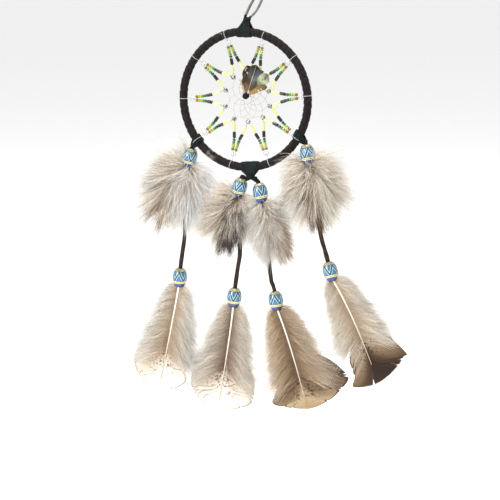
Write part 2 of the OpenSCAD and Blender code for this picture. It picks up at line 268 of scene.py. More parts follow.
class Paint:
    """A Principled material and the nodes that feed it."""

    def __init__(self, name, **sockets):
        self.material = bpy.data.materials.new(name)
        self.material.use_nodes = True
        self.tree = self.material.node_tree
        self.shader = self.tree.nodes["Principled BSDF"]
        for socket, value in sockets.items():
            self.set(self.shader, socket.replace("_", " "), value)
        self.place = self.add("ShaderNodeTexCoord").outputs["Object"]

    def set(self, node, socket, value):
        target = node.inputs[socket]
        if isinstance(value, bpy.types.NodeSocket):
            self.tree.links.new(value, target)
        elif isinstance(value, (tuple, list)) and len(value) == 3 and target.type == "RGBA":
            target.default_value = (*value, 1)
        else:
            target.default_value = value

    def add(self, kind, sockets=None, **settings):
        node = self.tree.nodes.new(kind)
        for key, value in settings.items():
            setattr(node, key, value)
        for socket, value in (sockets or {}).items():
            self.set(node, socket, value)
        return node

    def stretched(self, scale, source=None):
        """Coordinates scaled by three factors."""
        return self.add("ShaderNodeMapping", {"Vector": source or self.place, "Scale": scale}
                        ).outputs["Vector"]

    def pattern(self):
        """U and V on the piece's own pattern."""
        uv = self.add("ShaderNodeUVMap", uv_map="Pattern").outputs["UV"]
        split = self.add("ShaderNodeSeparateXYZ", {"Vector": uv})
        return uv, split.outputs["X"], split.outputs["Y"]

    def noise(self, scale, detail=2.0, source=None, rough=0.5):
        return self.add("ShaderNodeTexNoise", {"Vector": source or self.place, "Scale": scale,
                                               "Detail": detail, "Roughness": rough}
                        ).outputs["Fac"]

    def math(self, operation, a, b=0.0, c=0.0):
        return self.add("ShaderNodeMath", {0: a, 1: b, 2: c}, operation=operation).outputs[0]

    def band(self, value, low, high, soft=0.01):
        """1 where value lies between low and high, and 0 elsewhere."""
        rise = self.add("ShaderNodeMapRange", {"Value": value, "From Min": low - soft,
                                               "From Max": low + soft}).outputs[0]
        fall = self.add("ShaderNodeMapRange", {"Value": value, "From Min": high - soft,
                                               "From Max": high + soft, "To Min": 1.0,
                                               "To Max": 0.0}).outputs[0]
        return self.math("MULTIPLY", rise, fall)

    def over(self, fac, below, above, blend="MIX"):
        """above laid over below, by fac."""
        node = self.add("ShaderNodeMix", data_type="RGBA", blend_type=blend)
        self.set(node, 0, fac)
        self.set(node, 6, below)
        self.set(node, 7, above)
        return node.outputs[2]

    def ramp(self, fac, stops):
        """A colour from stops, each a place and a colour."""
        node = self.add("ShaderNodeValToRGB", {"Fac": fac})
        marks = node.color_ramp.elements
        while len(marks) < len(stops):
            marks.new(0.5)
        for mark, (place, colour) in zip(marks, stops):
            mark.position = place
            mark.color = (*colour, 1)
        return node.outputs["Color"]

    def colour(self, socket):
        self.set(self.shader, "Base Color", socket)

    def bump(self, height, strength, distance):
        """distance is the relief's depth in metres."""
        node = self.add("ShaderNodeBump", {"Height": height, "Strength": strength,
                                           "Distance": distance})
        self.set(self.shader, "Normal", node.outputs["Normal"])

    def rough(self, fac, low, high):
        node = self.add("ShaderNodeMapRange", {"Value": fac, "To Min": low, "To Max": high})
        self.set(self.shader, "Roughness", node.outputs[0])


def suede(name, dark, light, scuff=None):
    """Brushed leather: a mottled nap with a soft sheen. scuff is a point in the frame
    where the nap is worn pale."""
    paint = Paint(name, Sheen_Weight=0.03, Sheen_Roughness=0.5, Specular_IOR_Level=0.1)
    patches = paint.noise(420, 3)
    nap = paint.noise(3200, 2)
    mottle = paint.math("MULTIPLY_ADD", nap, 0.5, paint.math("MULTIPLY", patches, 0.55))
    colour = paint.ramp(mottle, [(0.3, dark), (0.75, light)])
    if scuff is not None:
        away = paint.add("ShaderNodeVectorMath", {0: paint.place, 1: tuple(scuff)},
                         operation="DISTANCE").outputs["Value"]
        worn = paint.band(away, -0.01, 0.0034, 0.0012)
        worn = paint.math("MULTIPLY", worn, paint.band(patches, 0.47, 2, 0.06))
        colour = paint.over(paint.math("MULTIPLY", worn, 0.7), colour, srgb(118, 112, 104))
    paint.colour(colour)
    paint.rough(nap, 0.75, 0.95)
    paint.bump(mottle, 0.5, 0.00018)
    return paint.material


def glass(name, deep, bright, clear=0.3, rough=0.06, coat=0.2):
    """Coloured glass with a streaky body."""
    paint = Paint(name, IOR=1.5, Transmission_Weight=clear, Coat_Weight=coat,
                  Coat_Roughness=0.05)
    streaks = paint.noise(600, 2)
    paint.colour(paint.ramp(streaks, [(0.3, deep), (0.7, bright)]))
    paint.rough(paint.noise(1500, 1), rough, rough + 0.08)
    paint.bump(streaks, 0.15, 0.00005)
    return paint.material


def twisted_thread(name, dark, light):
    paint = Paint(name, Specular_IOR_Level=0.3)
    twist = paint.noise(2600, 2, paint.stretched((1.0, 2.5, 1.0)))
    paint.colour(paint.ramp(twist, [(0.3, dark), (0.7, light)]))
    paint.rough(twist, 0.5, 0.75)
    paint.bump(twist, 0.4, 0.00006)
    return paint.material


def silvered(name):
    paint = Paint(name, Metallic=1.0)
    wear = paint.noise(900, 3)
    paint.colour(paint.ramp(wear, [(0.35, srgb(84, 84, 84)), (0.65, srgb(190, 192, 194))]))
    paint.rough(wear, 0.12, 0.32)
    paint.bump(wear, 0.12, 0.00005)
    return paint.material


def painted_bead(name):
    """Glazed bead: V runs from the bottom at 0 to the top at 1, U once round it."""
    paint = Paint(name, IOR=1.5, Coat_Weight=0.8, Coat_Roughness=0.08)
    _, u, v = paint.pattern()
    body = (0.36, 0.84)
    wobble = paint.math("MULTIPLY_ADD", paint.noise(380, 2), 0.05, -0.025)
    v = paint.math("ADD", v, wobble)
    height = paint.add("ShaderNodeMapRange", {"Value": v, "From Min": body[0],
                                              "From Max": body[1]}).outputs[0]
    teeth = paint.math("PINGPONG", paint.math("MULTIPLY", u, 10.0), 1.0)
    off = paint.math("SUBTRACT", height, teeth)
    depth = paint.math("ABSOLUTE", off)
    blotch = paint.noise(700, 3)
    up = paint.ramp(depth, [(0.0, srgb(14, 48, 76)), (0.15, srgb(20, 62, 92)),
                            (0.24, srgb(172, 206, 222)), (0.36, srgb(120, 168, 200)),
                            (0.42, srgb(34, 88, 132)), (0.8, srgb(58, 120, 166))])
    down = paint.ramp(depth, [(0.0, srgb(12, 46, 66)), (0.15, srgb(16, 62, 82)),
                              (0.24, srgb(184, 208, 206)), (0.36, srgb(116, 170, 182)),
                              (0.42, srgb(24, 80, 104)), (0.8, srgb(50, 112, 138))])
    colour = paint.over(paint.band(off, 0.0, 3.0, 0.01), up, down)
    cobalt = paint.ramp(blotch, [(0.3, srgb(14, 24, 84)), (0.7, srgb(48, 74, 158))])
    olive = paint.ramp(blotch, [(0.3, srgb(92, 92, 66)), (0.7, srgb(178, 172, 138))])
    straw = paint.ramp(blotch, [(0.3, srgb(206, 200, 120)), (0.7, srgb(240, 238, 190))])
    ink = srgb(24, 34, 26)
    for low, high, fill in [(0.84, 1.2, olive), (0.825, 0.855, ink), (0.34, 0.372, ink),
                            (0.285, 0.34, straw), (0.262, 0.285, ink), (0.215, 0.262, straw),
                            (-0.2, 0.215, cobalt), (0.2, 0.216, ink), (-0.2, 0.045, ink)]:
        colour = paint.over(paint.band(v, low, high, 0.006), colour, fill)
    paint.colour(colour)
    paint.rough(blotch, 0.14, 0.3)
    paint.bump(blotch, 0.25, 0.00012)
    return paint.material


def downy(name):
    """Fine barbs, coloured by the tint that each carries."""
    paint = Paint(name, Sheen_Weight=0.25, Sheen_Roughness=0.6, Specular_IOR_Level=0.15)
    tint = paint.add("ShaderNodeVertexColor", layer_name="Tint").outputs["Color"]
    shade = paint.noise(900, 2)
    shade = paint.ramp(shade, [(0.3, (0.82, 0.82, 0.82)), (0.7, (1.0, 1.0, 1.0))])
    paint.colour(paint.over(1.0, tint, shade, "MULTIPLY"))
    paint.rough(paint.noise(1500, 1), 0.7, 0.95)
    return paint.material


def vane_paint(name, tones, speckle, speckle_colour, edge=None):
    """A feather's closed vane. U runs from the shaft at 0 to the edge at 1, V from the
    top at 0 to the tip at 1. tones are stops along V, and speckle is the stretch of V
    that is mottled. edge is a colour for the outermost rim."""
    paint = Paint(name, Sheen_Weight=0.1, Sheen_Roughness=0.5, Specular_IOR_Level=0.2)
    uv, u, v = paint.pattern()
    barbs = paint.noise(1.0, 3, paint.stretched((3.0, 150.0, 1.0), uv))
    tufts = paint.noise(1.0, 3, paint.stretched((2.0, 26.0, 1.0), uv))
    reach = paint.math("MULTIPLY_ADD", tufts, 0.16, paint.math("SUBTRACT", v, 0.08))
    colour = paint.ramp(reach, tones)
    dots = paint.band(paint.noise(620, 3, rough=0.6), 0.555, 2.0, 0.03)
    near = paint.band(u, -1.0, 0.62, 0.22)
    where = paint.math("MULTIPLY", paint.band(reach, *speckle, 0.06), near)
    colour = paint.over(paint.math("MULTIPLY", dots, where), colour, speckle_colour)
    if edge is not None:
        colour = paint.over(paint.band(u, 0.965, 2.0, 0.015), colour, edge)
    shade = paint.ramp(barbs, [(0.3, (0.80, 0.78, 0.75)), (0.6, (1.0, 1.0, 1.0))])
    paint.colour(paint.over(0.75, colour, shade, "MULTIPLY"))
    paint.rough(barbs, 0.55, 0.8)
    paint.bump(barbs, 0.35, 0.0001)
    return paint.material


def horn(name, root, tip):
    """A quill: pale and smooth, with lengthwise streaks. V runs from root to tip."""
    paint = Paint(name, Specular_IOR_Level=0.4)
    uv, _, v = paint.pattern()
    streaks = paint.noise(1.0, 2, paint.stretched((14.0, 3.0, 1.0), uv))
    colour = paint.ramp(v, [(0.0, root), (0.6, root), (1.0, tip)])
    shade = paint.ramp(streaks, [(0.3, (0.86, 0.85, 0.82)), (0.65, (1.0, 1.0, 1.0))])
    paint.colour(paint.over(1.0, colour, shade, "MULTIPLY"))
    paint.rough(streaks, 0.3, 0.5)
    paint.bump(streaks, 0.2, 0.00005)
    return paint.material


def plaster(name):
    paint = Paint(name)
    grain = paint.noise(40, 4)
    paint.colour(paint.ramp(grain, [(0.3, (0.93, 0.93, 0.93)), (0.7, (0.95, 0.95, 0.95))]))
    paint.rough(grain, 0.85, 0.95)
    return paint.material


# ---------------------------------------------------------------- camera, light, floor

VIEW_AZIMUTH = math.radians(23.5)
VIEW_ELEVATION = math.radians(9.5)
VIEW_WIDTH = 330.5
LENS = 135
SENSOR = 36
FLOOR_DROP = 26


def set_camera():
    sa, ca = math.sin(VIEW_AZIMUTH), math.cos(VIEW_AZIMUTH)
    se, ce = math.sin(VIEW_ELEVATION), math.cos(VIEW_ELEVATION)
    right, up = np.array([ca, sa, 0]), np.array([-sa * se, ca * se, ce])
    back = np.array([sa * ce, -ca * ce, se])
    aim = right * 3.44 - up * 99.35
    camera = bpy.data.objects.new("camera", bpy.data.cameras.new("camera"))
    camera.data.lens = LENS
    camera.data.sensor_width = SENSOR
    camera.data.clip_end = 50
    camera.location = in_frame(aim + back * VIEW_WIDTH * LENS / SENSOR)
    camera.rotation_mode = "QUATERNION"
    camera.rotation_quaternion = Vector(-back).to_track_quat("-Z", "Y")
    bpy.context.scene.collection.objects.link(camera)
    bpy.context.scene.camera = camera


def set_lamp(name, place, size, power, target=(0, 0, -0.09)):
    lamp = bpy.data.objects.new(name, bpy.data.lights.new(name, "AREA"))
    lamp.data.shape = "DISK"
    lamp.data.size = size
    lamp.data.energy = power
    lamp.location = place
    lamp.rotation_mode = "QUATERNION"
    lamp.rotation_quaternion = (Vector(target) - Vector(place)).to_track_quat("-Z", "Y")
    bpy.context.scene.collection.objects.link(lamp)


def set_stage():
    bpy.context.scene.view_settings.view_transform = "Standard"
    world = bpy.data.worlds.new("studio")
    world.use_nodes = True
    world.node_tree.nodes["Background"].inputs["Color"].default_value = (1, 1, 1, 1)
    world.node_tree.nodes["Background"].inputs["Strength"].default_value = 0.92
    bpy.context.scene.world = world
    set_lamp("overhead", (0.05, -0.15, 1.1), 0.4, 16)
    set_lamp("front", (-0.7, -1.2, 0.5), 0.8, 13)
    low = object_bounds()[0].z - FLOOR_DROP * MM
    size = 12
    mesh = bpy.data.meshes.new("floor")
    mesh.from_pydata([(-size, -size, low), (size, -size, low), (size, size, low),
                      (-size, size, low)], [], [(0, 1, 2, 3)])
    mesh.materials.append(plaster("plaster"))
    floor = bpy.data.objects.new("floor", mesh)
    bpy.context.scene.collection.objects.link(floor)


# ---------------------------------------------------------------- laces

LACE_W, LACE_T = 3.0, 1.2
# Hanging loop from its left end over the nail to its right end
LOOP_UP = points([
    (0.4, 54.8), (2.4, 59), (4.6, 63), (7.2, 67.5), (9, 72.5),
    (9.8, 78), (9.8, 84), (9.2, 90), (8.7, 96),
])
LOOP_DOWN = points([
    (22.2, 97), (21.2, 91), (19.5, 85), (17.4, 79), (15, 73.5),
    (13.2, 68.5), (11.4, 64), (9.2, 59.8), (6.6, 56.6), (4, 54.3),
])
BIGHT_X, BIGHT_Z, BIGHT_R = 15.5, 103, 7
# Each strand: where it swings from the hoop, the lean of its upper bead, where the
# feather swings below the tuft, and the middle and lean of its lower bead
SWING = points([(-38.4, -33), (-1.8, -51.4), (9.6, -54.2), (43.4, -27)])
LEAN = [-15, -15, 13, 12]
KNEE = points([(-44.6, -93.5), (-3.6, -102), (19, -118.5), (54.6, -87.5)])
LOWER = points([(-48.4, -122.9), (-7.8, -133.6), (22.6, -133.6), (61.4, -111)])
LOWER_LEAN = [-4, -5, 8, 15]
EGG_D, EGG_L, EGG_END_D, EGG_BORE_D = 10.2, 13.0, 5.4, 3.6


def down(lean):
    """Down the axis of a bead that leans by this angle."""
    return at(math.sin(math.radians(lean)), -math.cos(math.radians(lean)))


def egg_centre(s):
    return SWING[s] + down(LEAN[s]) * (EGG_L / 2 + 0.9)


def nap_edges(path, rng, width, thick, sides=14):
    """Sections of a cut lace, whose width and lie wander a little."""
    wander = smooth_line(rng.normal(0, 1, (len(path) // 4 + 2, 3)), 4)[:len(path)]
    base = oval(width, thick, sides)
    return base[None] * (1 + 0.05 * wander[:, None, :2])


def hanging_loop(paint):
    bight = [at(BIGHT_X, BIGHT_Z) + polar(BIGHT_R, 180 - 22.5 * i) for i in range(9)]
    path = smooth_line(np.vstack([LOOP_UP, bight, LOOP_DOWN]), 4)
    shell = Shell()
    sections = nap_edges(path, np.random.default_rng(5), LACE_W, LACE_T)
    sweep(shell, path, sections, at(0, 0, 1))
    piece = shell.build("loop_lace", paint)
    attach(piece, "loop")
    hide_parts("hanging_loop")


def strand_lace(s, paint):
    """The lace from the hoop through the upper bead and the tuft to the lower bead."""
    name = STRANDS[s]
    out = egg_centre(s) + down(LEAN[s]) * (EGG_L / 2 + 1)
    top = LOWER[s] - down(LOWER_LEAN[s]) * EGG_L / 2
    stops = np.array([SWING[s], egg_centre(s), out, mix(out, KNEE[s], 0.5), KNEE[s],
                      mix(KNEE[s], top, 0.5), top, LOWER[s]])
    path = smooth_line(stops, 8)
    shell = Shell()
    sections = nap_edges(path, np.random.default_rng(20 + s), LACE_T, LACE_W)
    sweep(shell, path, sections, at(0, 0, 1))
    piece = shell.build("lace_" + name, paint)
    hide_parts("upper_thong_" + name, "lower_thong_" + name)
    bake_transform(piece)


# ---------------------------------------------------------------- hoop

WRAP_TURNS = 66
SCUFF_ANGLE = 237.7


def hoop_wrap(paint):
    """A suede strip wound round the hoop, each turn lying over the one before."""
    across = [(0.0, -0.20), (0.04, 0.08), (0.12, 0.14), (0.35, 0.12), (0.6, 0.06),
              (0.82, -0.04), (0.96, -0.18)]
    cols, sides = len(across), 26
    turn, rise = (np.tile(x, WRAP_TURNS) for x in np.array(across).T)
    strip = np.repeat(np.arange(WRAP_TURNS), cols)
    rng = np.random.default_rng(7)
    lift = rng.normal(0, 0.04, WRAP_TURNS)[strip]
    shift = rng.normal(0, 0.06, WRAP_TURNS)[strip]
    a = np.arange(sides) / sides
    place = (strip + turn + shift)[:, None] + a[None, :]
    around = place / WRAP_TURNS * 2 * math.pi
    tube = HOOP_T / 2 + (rise + lift)[:, None] + 0 * a
    radial = HOOP_R + tube * np.cos(2 * math.pi * a)
    verts = np.stack([radial * np.cos(around), tube * np.sin(2 * math.pi * a),
                      radial * np.sin(around)], axis=-1)
    rows = len(verts)
    quads = []
    for i in range(rows):
        for j in range(sides):
            skip = 0 if j + 1 < sides else cols
            i0, i1 = i, (i + 1) % rows
            j1 = (j + 1) % sides
            quads.append([i0 * sides + j, i1 * sides + j,
                          (i1 + skip) % rows * sides + j1, (i0 + skip) % rows * sides + j1])
    piece = build("hoop_suede", verts.reshape(-1, 3), quads, [], paint)
    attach(piece, "hoop")
    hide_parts("hoop_wrap", "hoop_ring")


def hitch(shell, degrees, neck, offsets, grip=3.35, width=3.0, thick=1.1, pinch=0.75):
    """Turns of lace round the hoop that are drawn together at neck. offsets are their
    places along the hoop."""
    out = unit(polar(1, degrees))
    along = unit(polar(1, degrees + 90))
    centre = out * HOOP_R
    a = np.arange(40) / 40 * 2 * math.pi
    to_neck = neck - centre
    toward = unit(to_neck)
    depth = at(0, 0, 1)
    for i, off in enumerate(offsets):
        pull = smoothstep((np.cos(a) - 0.1) / 0.9)[:, None] ** 1.1
        ring = centre + grip * (np.cos(a)[:, None] * toward + np.sin(a)[:, None] * depth)
        ring = ring + along * off * (1 - pinch * pull)
        ring = mix(ring, neck + along * off * (1 - pinch) + depth * np.sin(a)[:, None] * 1.1,
                   pull * 0.92)
        lift = 0.12 * (i % 2)
        ring = ring + unit(ring - centre) * lift
        sweep(shell, ring, oval(width, thick, 12), along, closed=True)


def collar(shell, centre, axis, radius, turns=2, thick=1.1, width=1.9, tilt=0.25):
    """Turns of lace round a neck, each tilted a little its own way."""
    axis = unit(axis)
    u = unit(np.cross(axis, at(0, 0, 1)))
    w = np.cross(axis, u)
    a = np.arange(28) / 28 * 2 * math.pi
    for i in range(turns):
        lean = tilt * (-1) ** i
        ring = centre + radius * (np.cos(a)[:, None] * u + np.sin(a)[:, None] * w)
        ring = ring + axis * (i - (turns - 1) / 2) * width * 0.7
        ring = ring + axis * np.cos(a)[:, None] * radius * lean
        sweep(shell, ring, oval(thick, width, 10), unit(ring - centre), closed=True)


def bindings(paint):
    """The laces that tie the hanging loop and the four strands to the hoop."""
    def finish(shell, name, node):
        piece = shell.build(name, paint)
        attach(piece, "hoop")
        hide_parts(node)

    shell = Shell()
    hitch(shell, 90, at(1.2, 52.2), [-3.9, -1.5, 0.9, 3.2])
    collar(shell, at(1.5, 52.6), at(0.4, 1), 1.9)
    sweep(shell, smooth_line(points([(-0.6, 50), (0.2, 53), (0.4, 54.8), (1.0, 56)]), 5),
          oval(LACE_W, LACE_T), at(0, 0, 1))
    sweep(shell, smooth_line(points([(1.4, 50), (2.4, 52.6), (4, 54.3), (5, 55.1)]), 5),
          oval(LACE_W, LACE_T), at(0, 0, 1))
    finish(shell, "top_tie", "top_binding")

    shell = Shell()
    hitch(shell, 274.8, at(4.2, -51), [-4.4, -2.0, 0.4, 2.8, 4.9])
    collar(shell, at(4.3, -50.9), at(0.1, -1), 2.2)
    for s, bend in [(1, (1.2, -52.6)), (2, (7.6, -52.8))]:
        arm = smooth_line(np.array([at(4.3, -51.2), at(*bend), SWING[s],
                                    SWING[s] + down(LEAN[s]) * 1.5]), 6)
        sweep(shell, arm, oval(LACE_T, LACE_W), at(0, 0, 1))
    collar(shell, at(7.4, -52.3), at(1, -0.6), 1.25, turns=1)
    finish(shell, "bottom_tie", "bottom_binding")

    for name, degrees, s in [("left", 219.5, 0), ("right", 329.5, 3)]:
        shell = Shell()
        neck = mix(polar(HOOP_R + 3.4, degrees), SWING[s], 0.7)
        hitch(shell, degrees, neck, [-1.3, 1.2], pinch=0.6)
        collar(shell, SWING[s] * 0.995 - down(LEAN[s]) * 1.1, down(LEAN[s]), 1.25, turns=1)
        arm = np.array([polar(HOOP_R + 1, degrees), mix(neck, SWING[s], 0.5), SWING[s],
                        SWING[s] + down(LEAN[s]) * 1.5])
        sweep(shell, smooth_line(arm, 6), oval(LACE_T, LACE_W), at(0, 0, 1))
        finish(shell, name + "_tie", name + "_binding")


# ---------------------------------------------------------------- web and small beads

# Clear bead of each point of the web, anticlockwise from the right, and the silver
# bead between each point and the next
APEX = points([(39.9, 3.6), (30.7, 25.2), (12, 37.3), (-11.9, 37.3), (-30, 22.8),
               (-37.8, -0.5), (-28.7, -23.3), (-8.3, -36.3), (15.3, -34.8), (33.5, -21.1)])
SILVER = points([(17.3, 6), (11, 14), (1.6, 17.2), (-8.2, 14.5), (-13.8, 5.8),
                 (-14, -4.9), (-7.6, -13), (2.5, -14.5), (13.1, -11.3), (18, -3.6)])
POINTS = len(APEX)
STEP = 360 / POINTS
WEB = at(2, 0.5)
WEB_TURN = 2
ROW_R = [12.8, 9.6, 6.6, 4.0, 2.4]
SEED_D, SEED_L, SEEDS = 2.2, 1.5, 5
BLACK_L, YELLOW_D, YELLOW_L = 4.2, 1.9, 6.2
CLEAR_D, CLEAR_L, SILVER_D = 3.2, 2.2, 3.0
LEG_SIDE, LEG_DROP, LEG_SPREAD = 1.15, 2.0, 0.7
BORE_R = 0.35
LOOP_R = 1.72
GAP = 0.1
PITCH = SEED_L + GAP
BEND_AT = SEEDS * PITCH + GAP
BLACK_AT = 0.3
YELLOW_AT = BLACK_AT + BLACK_L + GAP


def web_at(r, degrees, y=0.0):
    return WEB + polar(r, degrees + WEB_TURN, y)


def leg(k, side):
    """Where a leg of point k starts, bends and ends."""
    way_in = unit(mix(SILVER[k], SILVER[k - 1], 0.5) - APEX[k])
    across = side * at(way_in[2], -way_in[0])
    start = APEX[k] + way_in * LEG_DROP + across * LEG_SIDE
    bend = start + unit(way_in * BEND_AT + across * LEG_SPREAD) * BEND_AT
    return start, bend, SILVER[k if side > 0 else k - 1]


def bead_profile(d, length, round_end):
    """Outline of a drilled bead with rounded ends, from its near end."""
    a = np.linspace(0, math.pi / 2, 6)
    r, e = d / 2, min(round_end, d / 2 - BORE_R - 0.02)
    near = np.stack([r - e + e * np.sin(a), e - e * np.cos(a)], axis=1)
    far = np.stack([r - e + e * np.cos(a), length - e + e * np.sin(a)], axis=1)
    hole = np.array([[BORE_R, length - 0.05], [BORE_R, 0.05]])
    return np.vstack([near, far, hole])


def leg_beads(name, node, part, start_at, d, length, round_end, paint, rng):
    """The same bead on both legs of every point, each a little unlike the others.
    part is 0 before a leg's bend and 1 after it."""
    shell = Shell()
    for k in range(POINTS):
        for side in (-1, 1):
            start, end = leg(k, side)[part:part + 2]
            way = unit(end - start)
            size = 1 + rng.normal(0, 0.02)
            tilt = unit(way + rng.normal(0, 0.03, 3))
            turned(shell, bead_profile(d * size, length, round_end), start + way * start_at,
                   tilt, 18)
    hoop_piece(shell.build(name, paint), node)


def hoop_piece(piece, node):
    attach(piece, "hoop")
    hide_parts(node)
    return piece


def small_beads():
    rng = np.random.default_rng(11)
    seeds = [
        ("amber", glass("amber glass", srgb(96, 78, 14), srgb(172, 146, 44))),
        ("gold", glass("gold glass", srgb(158, 150, 38), srgb(214, 206, 90))),
        ("light_green", glass("light green glass", srgb(142, 164, 40), srgb(208, 222, 110))),
        ("green", glass("green glass", srgb(44, 108, 26), srgb(104, 174, 62), clear=0.2)),
        ("dark_green", glass("dark green glass", srgb(16, 58, 28), srgb(44, 104, 56),
                             clear=0.1)),
    ]
    for i, (tone, paint) in enumerate(seeds):
        leg_beads(tone + "_seed_beads", tone + "_beads", 0, GAP + i * PITCH,
                  SEED_D, SEED_L, 0.6, paint, rng)
    leg_beads("black_bugle_beads", "black_bugles", 1, BLACK_AT, SEED_D,
              BLACK_L, 0.35, glass("black glass", srgb(10, 8, 10), srgb(26, 20, 24),
                                    clear=0.0, coat=0.0), rng)
    leg_beads("yellow_bugle_beads", "yellow_bugles", 1, YELLOW_AT, YELLOW_D,
              YELLOW_L, 0.25, glass("yellow glass", srgb(226, 228, 130), srgb(246, 250, 186),
                                    clear=0.35), rng)
    shell = Shell()
    for tip in APEX:
        turned(shell, bead_profile(CLEAR_D, CLEAR_L, 1.0), tip - unit(tip) * CLEAR_L / 2,
               unit(tip), 20)
    hoop_piece(shell.build("clear_seed_beads", glass("clear glass", srgb(236, 240, 238),
               srgb(252, 254, 253), clear=0.92)), "clear_beads")
    shell = Shell()
    for k, centre in enumerate(SILVER):
        way = polar(1, (k + 0.5) * STEP + WEB_TURN + 90)
        turned(shell, bead_profile(SILVER_D, SILVER_D, 1.2), centre - way * SILVER_D / 2,
               way, 22)
    hoop_piece(shell.build("silver_round_beads", silvered("silver")), "silver_beads")


def bead_thread(paint):
    """Each point's thread: up one leg, round the clear bead and down the other leg."""
    shell = Shell()
    for k, tip in enumerate(APEX):
        left, right = leg(k, -1), leg(k, 1)
        out = unit(tip - mix(SILVER[k], SILVER[k - 1], 0.5))
        across = unit(right[0] - left[0])
        loop = [tip + (math.cos(a) * out + math.sin(a) * across) * LOOP_R
                for a in np.radians([-115, -70, -25, 25, 70, 115])]
        ends = [mix(side[1], side[2], 0.86) for side in (left, right)]
        line = [ends[0], left[1], left[0], *loop, right[0], right[1], ends[1]]
        sweep(shell, smooth_line(line, 5), oval(0.42, 0.42, 8, 1.0), at(0, 0, 1))
    second = smooth_line(points([(-12.4, 38.6, -1), (-14.6, 41.5, -2), (-16, 43.5, -2.9)]), 5)
    sweep(shell, second, oval(0.3, 0.3, 8, 1.0), at(0, 0, 1))
    hoop_piece(shell.build("bead_thread_loops", paint), "bead_threads")


def hook(row, k):
    """Where a row of the web hooks on: on a silver bead, or on the row outside it."""
    if row > 0:
        return web_at(ROW_R[row - 1], (k + 0.5 + row / 2) * STEP)
    bead = SILVER[k % POINTS]
    return bead + unit(WEB - bead) * (SILVER_D / 2 + 0.2)


def web(paint):
    """Rows of half hitches from the silver beads in to the middle."""
    rng = np.random.default_rng(3)
    shell = Shell()
    thread = oval(0.34, 0.34, 8, 1.0)
    for row in range(len(ROW_R)):
        line = []
        for k in range(POINTS):
            near, low, far = hook(row, k), hook(row + 1, k), hook(row, k + 1)
            for t in np.linspace(0, 1, 8, endpoint=False):
                sag = math.sin(math.pi * t) ** 0.8
                line.append(mix(mix(near, far, t), low, sag) + rng.normal(0, 0.06, 3))
        line = np.array(line)
        line[:, 1] = 0.17 * (-1) ** row
        sweep(shell, smooth_line(line, 2, closed=True), thread, at(0, 0, 1), closed=True)
    tie = smooth_line(np.array([web_at(ROW_R[-1], 80), mix(WEB, CENTRE_TIE, 0.5),
                                CENTRE_TIE + at(0, 0, -1)]), 4)
    sweep(shell, tie, thread, at(1, 0))
    hoop_piece(shell.build("web_loops", paint), "web_thread")


# ---------------------------------------------------------------- egg beads

def egg_beads(paint):
    drop = (EGG_D - EGG_END_D) / 2
    bulge = (drop ** 2 + EGG_L ** 2 / 4) / (2 * drop)
    z = np.linspace(-EGG_L / 2, EGG_L / 2, 34)
    r = EGG_D / 2 - bulge + np.sqrt(bulge ** 2 - z ** 2)
    lip = 0.35
    r[0] -= lip
    r[-1] -= lip
    outer = np.stack([r, z], axis=1)
    bore = [[EGG_BORE_D / 2, EGG_L / 2], [EGG_BORE_D / 2, -EGG_L / 2]]
    profile = np.vstack([outer, bore])
    rows, sides = len(profile), 56
    for level, centres, leans in [("upper", [egg_centre(s) for s in range(4)], LEAN),
                                  ("lower", LOWER, LOWER_LEAN)]:
        body = "strand_" if level == "upper" else "feather_"
        for s in range(4):
            axis = -down(leans[s])
            spin = math.radians(35 * s + (90 if level == "lower" else 0))
            u = at(0, 0, 1)
            w = np.cross(axis, u)
            a = np.arange(sides) / sides * 2 * math.pi + spin
            ring = np.cos(a)[:, None] * u + np.sin(a)[:, None] * w
            verts = centres[s] + profile[:, None, :1] * ring + profile[:, None, 1:] * axis
            uv = grid_uv(rows, sides, wrap_rows=True)
            v = np.clip(uv[:, 1] * rows / (len(outer) - 1), 0, 1)
            uv[:, 1] = v
            piece = build(f"{level}_egg_{STRANDS[s]}", verts.reshape(-1, 3),
                          grid_quads(rows, sides, wrap_rows=True), [], paint, uv=uv)
            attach(piece, body + STRANDS[s])
            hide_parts(f"{level}_bead_{STRANDS[s]}")


# ---------------------------------------------------------------- down

def hairs(name, curves, radius, tint, paint, rng):
    """One piece of tapered three-sided hairs. curves is (hairs, points, 3), radius one
    for each hair, and tint a colour for each point."""
    count, steps = curves.shape[:2]
    ahead = unit(np.gradient(curves, axis=1))
    u = unit(np.cross(ahead, unit(rng.normal(size=(count, 1, 3)))))
    w = np.cross(ahead, u)
    t = np.linspace(0, 1, steps)[:-1]
    taper = (0.55 + 1.1 * t * (1 - t) * 2) * (1 - t ** 3)
    size = radius[:, None] * taper
    rings = [curves[:, :-1] + size[..., None] * (math.cos(a) * u + math.sin(a) * w)[:, :-1]
             for a in (0, 2 * math.pi / 3, 4 * math.pi / 3)]
    body = np.stack(rings, axis=2).reshape(count, -1, 3)
    verts = np.concatenate([body, curves[:, -1:]], axis=1)
    each = verts.shape[1]
    j = np.arange(steps - 2)[:, None] * 3
    k = np.arange(3)[None]
    k1 = (k + 1) % 3
    quads = np.stack([j + k, j + k1, j + 3 + k1, j + 3 + k], axis=-1).reshape(-1, 4)
    last = 3 * (steps - 2)
    tris = np.array([[last, last + 1, each - 1], [last + 1, last + 2, each - 1],
                     [last + 2, last, each - 1], [2, 1, 0]])
    base = (np.arange(count) * each)[:, None, None]
    shades = np.concatenate([np.repeat(tint[:, :-1], 3, axis=1), tint[:, -1:]], axis=1)
    return build(name, verts.reshape(-1, 3), quads + base, tris + base, paint,
                 tint=shades.reshape(-1, 3))


